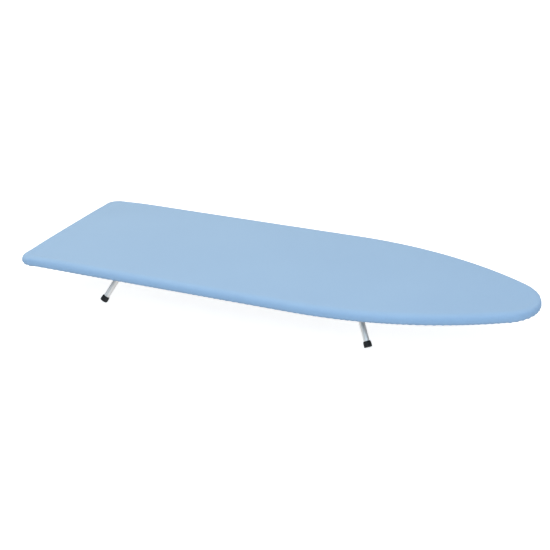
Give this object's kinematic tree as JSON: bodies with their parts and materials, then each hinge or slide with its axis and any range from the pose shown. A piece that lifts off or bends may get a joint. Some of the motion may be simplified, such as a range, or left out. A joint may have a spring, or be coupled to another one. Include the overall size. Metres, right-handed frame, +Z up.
{
  "type": "tabletop ironing board",
  "caption": "Tabletop ironing board: flat padded board with a square tail and tapered nose, light blue cotton cover, on folding U-shaped tube legs with rubber feet.",
  "frame": {"origin": "centre of the board's footprint at the level of the table it stands on", "axes": "+X along the board to its nose, +Y across to its left side, +Z up"},
  "size_m": [0.81, 0.3, 0.085],
  "materials": {
    "cotton": "plain woven light blue cotton, matt with a faint sheen",
    "foam": "open cell foam",
    "elastic": "braided elastic tape",
    "deck_enamel": "pale grey baked enamel on sheet steel",
    "zinc_plate": "zinc plated steel",
    "leg_silver": "satin silver powder coat",
    "foot_rubber": "black moulded rubber, semi matt",
    "clip_nylon": "natural moulded nylon"
  },
  "bodies": {
    "board": {"deck_plate": "deck_enamel", "rim_frame": "deck_enamel", "centre_rib": "deck_enamel", "rear_pivot_rail": "deck_enamel", "front_pivot_rail": "deck_enamel", "foam_pad": "foam", "cotton_cover": "cotton", "cover_hem": "cotton", "hem_elastic": "elastic", "rear_left_saddle": "zinc_plate", "rear_left_stop": "zinc_plate", "rear_left_clip": "clip_nylon", "rear_right_saddle": "zinc_plate", "rear_right_stop": "zinc_plate", "rear_right_clip": "clip_nylon", "front_left_saddle": "zinc_plate", "front_left_stop": "zinc_plate", "front_left_clip": "clip_nylon", "front_right_saddle": "zinc_plate", "front_right_stop": "zinc_plate", "front_right_clip": "clip_nylon", "rear_rail_rivets": "zinc_plate", "front_rail_rivets": "zinc_plate", "clip_rivets": "zinc_plate"},
    "rear_leg": {"rear_leg_tube": "leg_silver", "rear_left_foot": "foot_rubber", "rear_right_foot": "foot_rubber"},
    "front_leg": {"front_leg_tube": "leg_silver", "front_left_foot": "foot_rubber", "front_right_foot": "foot_rubber"}
  },
  "joints": [
    {"name": "rear_leg_fold", "type": "hinge", "parent": "board", "child": "rear_leg", "pos_m": [-0.249, 0, 0.0705], "axis": [0, -1, 0], "range_deg": [0, 117.4]},
    {"name": "front_leg_fold", "type": "hinge", "parent": "board", "child": "front_leg", "pos_m": [0.1347, 0, 0.0705], "axis": [0, 1, 0], "range_deg": [0, 117.4]}
  ]
}
